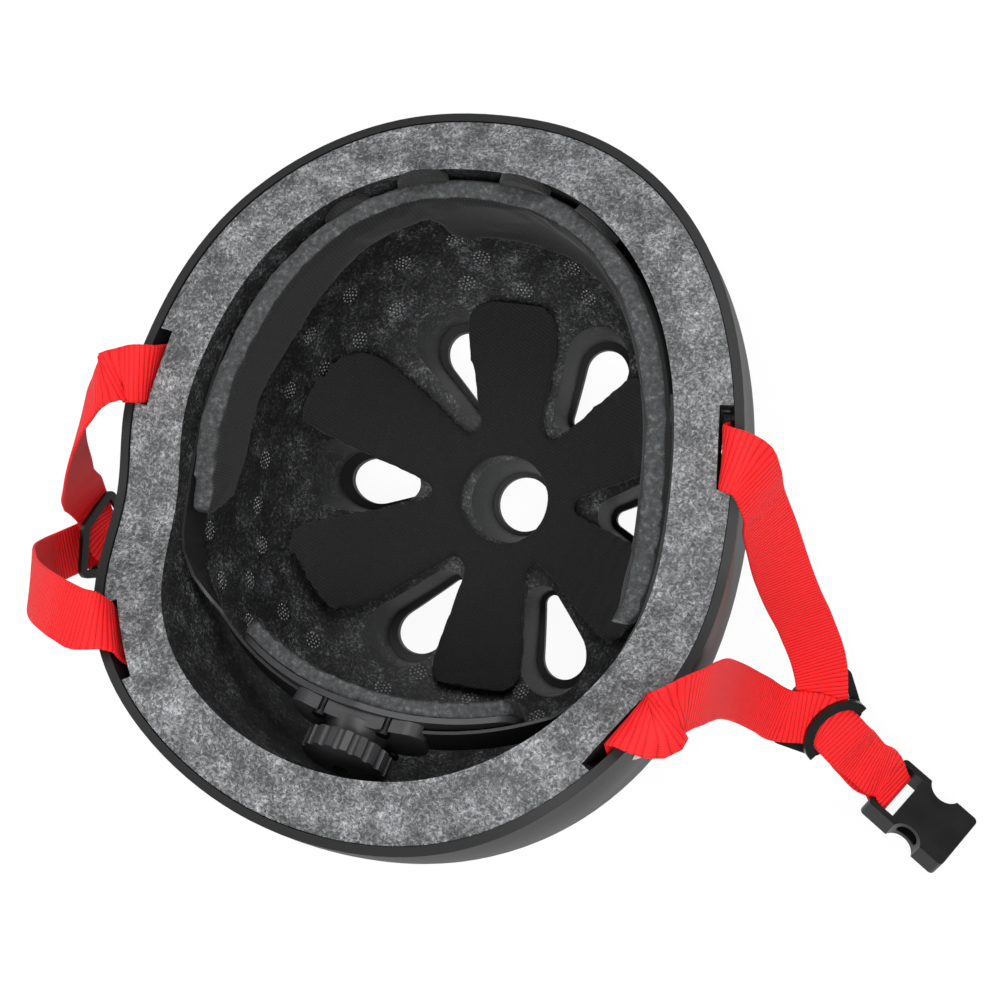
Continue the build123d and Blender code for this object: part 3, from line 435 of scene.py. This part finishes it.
def resting_to_own(place):
    return Matrix.Rotation(radians(-REST_TILT), 3, "X") @ (place - REST_SHIFT * MM)


def own_to_resting(place):
    return turned(place) + REST_SHIFT * MM


# Mesh helpers

JOIN_DISTANCE = 0.02 * MM


def make_active(piece):
    if bpy.context.object and bpy.context.object.mode != "OBJECT":
        bpy.ops.object.mode_set(mode="OBJECT")
    bpy.ops.object.select_all(action="DESELECT")
    piece.select_set(True)
    bpy.context.view_layer.objects.active = piece


def apply_modifiers(piece):
    make_active(piece)
    for modifier in list(piece.modifiers):
        bpy.ops.object.modifier_apply(modifier=modifier.name)


def merged_copy(node, name):
    """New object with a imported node's surface, its loose triangles joined."""
    piece = new_object(name, nodes[node].data.copy())
    make_active(piece)
    bpy.ops.object.mode_set(mode="EDIT")
    bpy.ops.mesh.select_all(action="SELECT")
    bpy.ops.mesh.remove_doubles(threshold=JOIN_DISTANCE)
    bpy.ops.mesh.normals_make_consistent(inside=False)
    bpy.ops.object.mode_set(mode="OBJECT")
    bpy.ops.mesh.customdata_custom_splitnormals_clear()
    return piece


# Pads: sizes in metres, plan angles in degrees, the lean of the crown pad in radians

BROW_BULGE = 1.4 * MM
NAPE_THICKENING = 2.6 * MM
PETAL_ANGLE = 93.0
PETAL_SPACING = 60.0
PETAL_FLARE_SHARE = 0.18
PETAL_ROOT = 28 * MM
PETAL_FLARE_REACH = 34 * MM
CROWN_PAD_LEAN = 0.028
CLOTH_STEPS = 20


def towards_head(place):
    return Vector((-place.x, -place.y, 0)).normalized()


def brow_form(place, normal):
    """The brow pad bulges out over its hook patches until it meets the liner."""
    inward = towards_head(place)
    return place - inward * BROW_BULGE * max(-normal.dot(inward), 0)


def nape_form(place, normal):
    """The nape strip is thick open foam: it stands further off its band towards the head."""
    inward = towards_head(place)
    return place + inward * NAPE_THICKENING * max(normal.dot(inward), 0)


def petal_form(place, normal):
    """Petals flare towards their tips, and the pad follows the crown a little to one side."""
    own = resting_to_own(place)
    reach = sqrt(own.x ** 2 + own.y ** 2)
    half = PETAL_SPACING / 2
    angle = (degrees(atan2(own.y, own.x)) - PETAL_ANGLE + half) % PETAL_SPACING - half
    share = min(max((reach - PETAL_ROOT) / PETAL_FLARE_REACH, 0.0), 1.0)
    turn = radians(angle) * PETAL_FLARE_SHARE * share * share * (3 - 2 * share)
    middle = Vector((0, 0, CROWN_DEPTH * MM))
    swung = Matrix.Rotation(turn, 3, "Z") @ own - middle
    return own_to_resting(Matrix.Rotation(CROWN_PAD_LEAN, 3, "Y") @ swung + middle)


def swell(pad, pressure, cap):
    """Blows the pad up as cloth, and moves no point further than the cap."""
    starts = [v.co.copy() for v in pad.data.vertices]
    cloth = pad.modifiers.new("stuffing", "CLOTH")
    cloth.settings.use_pressure = True
    cloth.settings.uniform_pressure_force = pressure
    cloth.settings.effector_weights.gravity = 0
    cloth.settings.quality = 5
    cloth.collision_settings.use_collision = False
    for step in range(1, CLOTH_STEPS + 1):
        bpy.context.scene.frame_set(step)
    apply_modifiers(pad)
    bpy.context.scene.frame_set(1)
    for vertex, start in zip(pad.data.vertices, starts):
        move = vertex.co - start
        if move.length > cap:
            vertex.co = start + move * (cap / move.length)


def foam_pad(node, name, material, form, voxel, shrink, pressure, cap, body):
    """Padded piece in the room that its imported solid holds: shrunk, shaped and swelled."""
    pad = merged_copy(node, name)
    remesh = pad.modifiers.new("even_faces", "REMESH")
    remesh.mode = "VOXEL"
    remesh.voxel_size = voxel
    apply_modifiers(pad)
    slim = pad.modifiers.new("slim", "DISPLACE")
    slim.strength = -shrink
    slim.mid_level = 0.0
    apply_modifiers(pad)
    formed = [form(v.co, v.normal) for v in pad.data.vertices]
    for vertex, place in zip(pad.data.vertices, formed):
        vertex.co = place
    swell(pad, pressure, cap)
    smooth = pad.modifiers.new("smooth", "SUBSURF")
    smooth.levels = smooth.render_levels = 1
    apply_modifiers(pad)
    bpy.ops.object.shade_smooth()
    finish(pad, material)
    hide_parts(node)
    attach(pad, body)


# Straps, in millimetres

WEB_WIDTH = 20.0
WEB_THICKNESS = 1.3
SHOULDER_INSET = 0.9
CORNER_INSET = 0.25
CORNER_SHARE = 0.75
LINE_STEP = 2.0
RIVET_DROP = 16.0
FRONT_RIVET_ANGLE = 10.5
REAR_RIVET_ANGLE = -33.5
WASHER_ROOM = 0.3 + 0.9
STRAP_LAY = SHELL_WALL + WASHER_ROOM + WEB_THICKNESS / 2
POCKET_DEPTH = 5.0
FAN_TURN = 40.0
FAN_RADIUS = 18.0
FAN_FOOT = 8.0
DIVIDER_FOOT = 16.0
LOW_LAY, HIGH_LAY = 1.95, 3.95
BAR_WRAP_RADIUS = 2.45
BAR_APPROACH = 7.5
BAR_APPROACH_LIFT = 2.6


def strap_end(side, angle, lean):
    """Places and width directions from the rivet up through the pocket and over the shell's edge.

    The strap turns about its one rivet, so it leaves the pocket leaning by the given degrees. Each row has a
    height above the rim, an inset from the outside, and the share of the lean reached there.
    """
    rows = [(-RIVET_DROP - WEB_WIDTH / 2, STRAP_LAY, 0.15), (-RIVET_DROP, STRAP_LAY, 0.15),
            (-POCKET_DEPTH, STRAP_LAY + 0.6, 0.2), (0.8, STRAP_LAY + 1.4, 0.35), (4.6, STRAP_LAY, 0.5),
            (6.4, 0.6 * SHELL_WALL, 0.7), (5.6, -0.6 * SHELL_WALL, 0.9)]
    places = []
    plan_angle = angle if side > 0 else 180 - angle
    shift = -rows[0][2] * radians(lean) * WEB_WIDTH / 2
    for index, (above, inset, share) in enumerate(rows):
        before = rows[max(index - 1, 0)]
        after = rows[min(index + 1, len(rows) - 1)]
        turn = radians(lean * share)
        shift += sin(turn) * sqrt((above - before[0]) ** 2 + (inset - before[1]) ** 2)
        z = rim_height(wall(plan_angle, rim_height(0), inset).y) + above
        place = wall(plan_angle, z, inset)
        tangent = wall_along(plan_angle, z, inset)
        half = tangent.y * WEB_WIDTH / 2
        slope = (rim_height(place.y + half) - rim_height(place.y - half)) / WEB_WIDTH
        outward = Vector((tangent.y, -tangent.x, 0)) * side
        travel = (Vector((0, 0, 1)) * (after[0] - before[0]) - outward * (after[1] - before[1])).normalized()
        rim_way = (tangent + Vector((0, 0, slope))).normalized()
        across = rim_way * cos(turn) - travel * sin(turn)
        places.append((turned(place + rim_way * shift) + REST_SHIFT, turned(across)))
    return places


class Frame:
    """A local frame: X and Z as given, Y completes it."""

    def __init__(self, origin, x, z):
        self.origin = Vector(origin)
        self.z = Vector(z).normalized()
        x = Vector(x)
        self.x = (x - self.z * x.dot(self.z)).normalized()
        self.y = self.z.cross(self.x)

    def place(self, x, y, z):
        return self.origin + self.x * x + self.y * y + self.z * z


def fan(divider, fan_sign, side, height):
    """Through the divider, from outside it to its foot: rows have a share of the turn and a reach past it."""
    rows = []
    for turn_share, reach in [(1, 17.1), (1, 7.6), (1, 0), (0.67, 0), (0.33, 0), (0, 0)]:
        turn = radians(FAN_TURN) * turn_share
        x = FAN_RADIUS * (1 - cos(turn)) + reach * sin(turn)
        y = FAN_RADIUS * sin(turn) + reach * cos(turn) - FAN_FOOT
        across = divider.x * cos(turn) - divider.y * (sin(turn) * fan_sign)
        rows.append((divider.place(x * fan_sign, y, height), across * side))
    rows.append((divider.place(0, -DIVIDER_FOOT, height), divider.x * side))
    return rows


def free(rows):
    """A table's rows as places and width directions."""
    return [(Vector(row[:3]), Vector(row[3:])) for row in rows]


def strap_path(side, front_rows, rear_rows, divider, buckle, leans, skips):
    """One strap: from its rear rivet through the divider, round the buckle's bar and to its front rivet."""
    front_lean, rear_lean = leans
    front_skip, rear_skip = skips
    leg = divider.origin - buckle.origin
    bar = Frame(buckle.origin, buckle.x, leg.cross(buckle.x))
    front = strap_end(side, FRONT_RIVET_ANGLE, front_lean) + free(front_rows)
    front += fan(divider, side, side, LOW_LAY)[front_skip:]
    rear = strap_end(side, REAR_RIVET_ANGLE, rear_lean) + free(rear_rows)
    rear += fan(divider, -side, side, HIGH_LAY)[rear_skip:]
    down, up = [], []
    for share, spread in [(0.5, 2.5), (0.68, 2.9)]:
        middle = blend(divider.origin, bar.origin, share)
        turn_share = min(1.2 * share, 1.0)
        normal = blend(divider.z, bar.z, turn_share)
        across = blend(divider.x, -bar.x, turn_share) * side
        centre = (LOW_LAY + HIGH_LAY) / 2 * (1 - share)
        down.append((middle + normal * (centre + spread), across))
        up.append((middle + normal * (centre - spread), across))
    down.append((bar.place(0, -BAR_APPROACH, BAR_APPROACH_LIFT), bar.x * -side))
    up.append((bar.place(0, -BAR_APPROACH, -BAR_APPROACH_LIFT), bar.x * -side))
    wrap = []
    for turn in (115, 75, 35, 0, -35, -75, -115):
        y, z = BAR_WRAP_RADIUS * cos(radians(turn)), BAR_WRAP_RADIUS * sin(radians(turn))
        wrap.append((bar.place(0, y, z), bar.x * -side))
    return rear + down + wrap + up[::-1] + front[::-1]


def pace(before, here, after):
    """Direction and speed at a point, from its neighbours."""
    near, far = (here - before).length, (after - here).length
    if near == 0 or far == 0:
        return (after - before).normalized()
    return ((here - before) * (far / near) + (after - here) * (near / far)) / (near + far)


def between(before, start, end, after, share):
    """Smooth place between start and end."""
    span = (end - start).length
    lead, trail = pace(before, start, end) * span, pace(start, end, after) * span
    cube, square = share ** 3, share ** 2
    return (start * (2 * cube - 3 * square + 1) + lead * (cube - 2 * square + share)
            + end * (3 * square - 2 * cube) + trail * (cube - square))


def strap_line(path):
    """Places and width directions close together along a strap."""
    line = []
    last = len(path) - 1
    for index in range(last):
        (start, start_across), (end, end_across) = path[index], path[index + 1]
        before, after = path[max(index - 1, 0)][0], path[min(index + 2, last)][0]
        steps = max(3, int((end - start).length / LINE_STEP))
        for step in range(steps):
            share = step / steps
            line.append((between(before, start, end, after, share),
                         blend(start_across.normalized(), end_across.normalized(), share)))
    line.append((path[last][0], path[last][1].normalized()))
    return line


def strap_section():
    """The strap's section, across and through it, with rounded edges."""
    half, thick = WEB_WIDTH / 2, WEB_THICKNESS / 2
    shoulder, corner = half - SHOULDER_INSET, half - CORNER_INSET
    upper = [(corner, CORNER_SHARE * thick), (shoulder, thick), (0, thick), (-shoulder, thick),
             (-corner, CORNER_SHARE * thick)]
    return [(half, 0)] + upper + [(-half, 0)] + [(x, -z) for x, z in upper[::-1]]


def strap(name, path, node):
    """Woven strap: its UV map is in millimetres, across and along."""
    line, section = strap_line(path), strap_section()
    mesh = bmesh.new()
    rings, lengths, run = [], [], 0.0
    for index, (centre, across) in enumerate(line):
        ahead, behind = line[min(index + 1, len(line) - 1)][0], line[max(index - 1, 0)][0]
        along = (ahead - behind).normalized()
        across = (across - along * across.dot(along)).normalized()
        up = along.cross(across)
        if index:
            run += (centre - line[index - 1][0]).length
        lengths.append(run)
        rings.append([mesh.verts.new((centre + across * x + up * z) * MM) for x, z in section])
    layer = mesh.loops.layers.uv.new("weave")
    for ring in range(len(rings) - 1):
        for spot in range(len(section)):
            other = (spot + 1) % len(section)
            corners = [(ring, spot), (ring + 1, spot), (ring + 1, other), (ring, other)]
            face = mesh.faces.new([rings[r][s] for r, s in corners])
            face.smooth = True
            for loop, (r, s) in zip(face.loops, corners):
                loop[layer].uv = (section[s][0], lengths[r])
    mesh.faces.new(rings[0])
    mesh.faces.new(rings[-1][::-1])
    bmesh.ops.recalc_face_normals(mesh, faces=mesh.faces)
    data = bpy.data.meshes.new(name)
    mesh.to_mesh(data)
    mesh.free()
    piece = new_object(name, data)
    finish(piece, webbing_finish)
    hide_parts(node)
    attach(piece, "helmet")


# Steam marks: places in the photograph, in pixels, and sizes in millimetres

STEAM_SPOTS = [(455, 240), (403, 263), (350, 295), (397, 310), (467, 283), (525, 290), (572, 268), (580, 312),
               (360, 340), (310, 335), (325, 370), (290, 390), (383, 688), (418, 672), (313, 640), (273, 665),
               (300, 372), (280, 415), (265, 460), (258, 505), (262, 545), (250, 580), (283, 612), (250, 622),
               (222, 580), (210, 530), (470, 700), (520, 690)]
MARK_SPACING = 11.0
MIRROR_TOLERANCE = 2.0
HEAD_MIDDLE = Vector((0.0, 0.0, 120.0))
PIP_SPACING = 1.5
PIP_RADIUS = 0.45
PIP_FLATTENING = 0.7
PIP_RINGS = ((0, 1), (1, 6), (2, 12))


def steam_places(camera):
    """Where the marks stand on the liner's wall: along the camera's sight lines, and mirrored."""
    liner = nodes["eps_liner"]
    eye, turn = camera.matrix_world.translation, camera.matrix_world.to_3x3()
    middle = HEAD_MIDDLE * MM
    found = []

    def keep(place, normal):
        if all((place - other).length > MARK_SPACING * MM for other, way in found):
            found.append((place.copy(), normal.copy()))

    for u, v in STEAM_SPOTS:
        sight = Vector(((u - PICTURE_MIDDLE) / FOCAL_PIXELS, (PICTURE_MIDDLE - v) / FOCAL_PIXELS, -1.0))
        hit, place, normal, face = liner.ray_cast(eye, (turn @ sight).normalized())
        if not hit:
            continue
        keep(place, normal)
        twin = Vector((-place.x, place.y, place.z))
        hit, place, normal, face = liner.ray_cast(middle, (twin - middle).normalized())
        if hit and (place - twin).length <= MIRROR_TOLERANCE * MM:
            keep(place, normal)
    return found


def steam_marks(camera):
    """Round groups of nineteen small pips, laid on the liner's inner wall."""
    pips = []
    for ring, count in PIP_RINGS:
        for index in range(count):
            angle = 2 * pi * index / count
            pips.append(Vector((cos(angle), sin(angle), 0)) * ring * PIP_SPACING * MM)
    flattened = Matrix.Diagonal((1, 1, PIP_FLATTENING, 1))
    mesh = bmesh.new()
    for point, direction in steam_places(camera):
        place = Matrix.Translation(point) @ direction.to_track_quat("Z", "Y").to_matrix().to_4x4()
        for pip in pips:
            bmesh.ops.create_icosphere(mesh, subdivisions=1, radius=PIP_RADIUS * MM,
                                       matrix=place @ Matrix.Translation(pip) @ flattened)
    data = bpy.data.meshes.new("steam_marks")
    mesh.to_mesh(data)
    mesh.free()
    piece = new_object("steam_marks", data)
    finish(piece, steam_mark_foam())
    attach(piece, "helmet")


# Hook patches and band arms

PINION_CENTRE = Vector((-7.0, -81.31, 141.49))
PINION_AXIS = Vector((-0.1009, -0.9358, 0.3378))
PITCH_RADIUS = 4.0
TOOTH_HEIGHT = 0.7
TOOTH_CLEARANCE = 0.45
TAPE_SMOOTH_ANGLE = 40
BAND_SMOOTH_ANGLE = 35


def hook_patches(node, name):
    """Round hook-tape patches that hold a pad."""
    piece = merged_copy(node, name)
    finish(piece, tape_finish)
    bpy.ops.object.shade_smooth_by_angle(angle=radians(TAPE_SMOOTH_ANGLE))
    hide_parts(node)
    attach(piece, "helmet")


def clear_pinion(piece):
    """Holds the rack teeth just clear of the turning pinion, out of sight under the cover."""
    axis = PINION_AXIS.normalized()
    limit = (PITCH_RADIUS + TOOTH_HEIGHT + TOOTH_CLEARANCE) * MM
    for vertex in piece.data.vertices:
        offset = vertex.co - PINION_CENTRE * MM
        radial = offset - axis * offset.dot(axis)
        if radial.length < limit:
            vertex.co += radial.normalized() * (limit - radial.length)


def arm(node, name):
    """Band arm: a copy of its imported node, its rack teeth held clear of the pinion, baked where it stands."""
    piece = merged_copy(node, name)
    clear_pinion(piece)
    finish(piece, band_finish)
    bpy.ops.object.shade_smooth_by_angle(angle=radians(BAND_SMOOTH_ANGLE))
    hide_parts(node)
    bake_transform(piece)


# Build

camera = photo_camera()
for softbox in SOFTBOXES:
    soft_lamp(*softbox)
studio_world()
bpy.context.scene.view_settings.view_transform = "Standard"

webbing_finish = grosgrain()
band_finish = moulded_black("black_nylon_band_moulded", "#141415", "#1c1c1d", 0.42)
acetal_finish = moulded_black("black_acetal_moulded", "#0b0b0c", "#121213", 0.36)
cradle_finish = moulded_black("satin_black_nylon_moulded", "#262627", "#303032", 0.42)
tape_finish = knit("hook_tape_woven", False, False)

dress(["outer_shell"], shell_abs())
dress(["eps_liner"], bead_foam())
dress(["strap_rivets"], steel("nickel_plated_steel_pressed", "#9a9b9d", "#c9cacc", 0.24))
dress(["rivet_washers"], steel("zinc_plated_steel_tumbled", "#8a8b8d", "#b5b7b8", 0.34))
dress(["cradle_screws", "dial_screw"], steel("blackened_steel_screw", "#1b1b1c", "#2e2e30", 0.42))
dress(["strap_divider_left", "strap_divider_right", "buckle_socket", "buckle_plug"], acetal_finish)
dress(["cradle_yoke", "cradle_cover", "click_ring", "dial_knob", "dial_pinion"], cradle_finish)
dress(["headband_anchors"], band_finish)
hook_patches("crown_hook_patches", "crown_hook_tape")
hook_patches("forehead_hook_patches", "brow_hook_tape")

foam_pad("crown_pad", "crown_pad_knit", knit("black_warp_knit_crown", False, False), petal_form,
         voxel=2.6 * MM, shrink=0.7 * MM, pressure=4, cap=1.2 * MM, body="helmet")
foam_pad("forehead_pad", "forehead_pad_knit", knit("black_warp_knit_brow", True, True), brow_form,
         voxel=2.6 * MM, shrink=0.7 * MM, pressure=4, cap=1.2 * MM, body="helmet")
foam_pad("cradle_pad", "cradle_pad_felt", knit("black_warp_knit_nape", True, True), nape_form,
         voxel=1.6 * MM, shrink=0.3 * MM, pressure=3, cap=0.5 * MM, body="cradle")

# places of the dividers and buckle bars are in half widths, and the straps' rows in millimetres, each row a
# place and a width direction listed along the strap
divider_left = Frame(Vector((1.295, -0.444, 0.461)) * HALF_WIDTH, (0.6, 0.794, 0.029), (0.41, -0.342, 0.84))
divider_right = Frame(Vector((-1.540, -0.267, 0.515)) * HALF_WIDTH,
                      (0.0, -0.98, 0.184), (-0.955, -0.053, -0.284))
buckle_left = Frame(Vector((1.579, -0.659, 0.113)) * HALF_WIDTH, (-0.43, -0.716, 0.547), (0.3, 0.455, 0.842))
buckle_right = Frame(Vector((-1.400, -0.357, 0.042)) * HALF_WIDTH, (0.0, 1.0, 0.0), (0.0, 0.0, -1.0))
front_left_rows = [(112.0, 12.3, 160, 0.34, 0.93, 0.1), (113.0, 7.5, 147, 0.46, 0.87, 0.14),
                   (115.4, 2.0, 131, 0.6, 0.77, 0.18), (118.2, -4.5, 113, 0.74, 0.63, 0.2),
                   (122.2, -11.5, 95, 0.82, 0.54, 0.15), (127.2, -18.5, 77, 0.88, 0.44, 0.0)]
rear_left_rows = [(100.8, -60.5, 180, 0.0, 0.86, 0.45), (105.6, -55.6, 171, 0.0, 0.74, 0.62),
                  (108.0, -51.8, 156, 0.02, 0.78, 0.58), (108.4, -49.4, 137, 0.04, 0.86, 0.48),
                  (108.6, -48.0, 116, 0.05, 0.92, 0.4), (110.8, -47.4, 94, 0.03, 0.93, 0.36),
                  (115.6, -48.2, 73, 0.02, 0.93, 0.36)]
front_right_rows = [(-110.5, 15.5, 171, -0.4, 0.88, -0.25), (-119.5, 8.5, 163, -0.36, 0.83, -0.42),
                    (-129.0, 1.0, 149, -0.3, 0.77, -0.56), (-138.5, -5.5, 131, -0.22, 0.7, -0.68),
                    (-148.0, -10.5, 110, -0.1, 0.62, -0.77), (-157.5, -13.5, 88, 0.0, 0.6, -0.78)]
rear_right_rows = [(-103.5, -65.0, 178, 0.15, 0.97, 0.15), (-116.5, -62.0, 167, 0.1, 0.98, 0.15),
                   (-131.0, -58.5, 150, 0.05, 0.98, 0.17), (-145.0, -54.0, 129, 0.0, 0.97, 0.22),
                   (-157.5, -49.0, 107, -0.06, 0.95, 0.3), (-165.5, -44.8, 87, -0.12, 0.92, 0.38)]
left_path = strap_path(1, front_left_rows, rear_left_rows, divider_left, buckle_left,
                       leans=(-34, 42), skips=(1, 1))
right_path = strap_path(-1, front_right_rows, rear_right_rows, divider_right, buckle_right,
                        leans=(-30, 40), skips=(1, 0))
strap("webbing_left_woven", left_path, "webbing_left")
strap("webbing_right_woven", right_path, "webbing_right")

arm("headband_arm_left", "band_arm_left")
arm("headband_arm_right", "band_arm_right")

steam_marks(camera)

FLOOR_SIZE = 6.0
FLOOR_GAP = 0.5 * MM
bpy.ops.mesh.primitive_plane_add(size=FLOOR_SIZE, location=(0, 0, -FLOOR_GAP))
floor = bpy.context.object
floor.name = "floor"
finish(floor, floor_white())
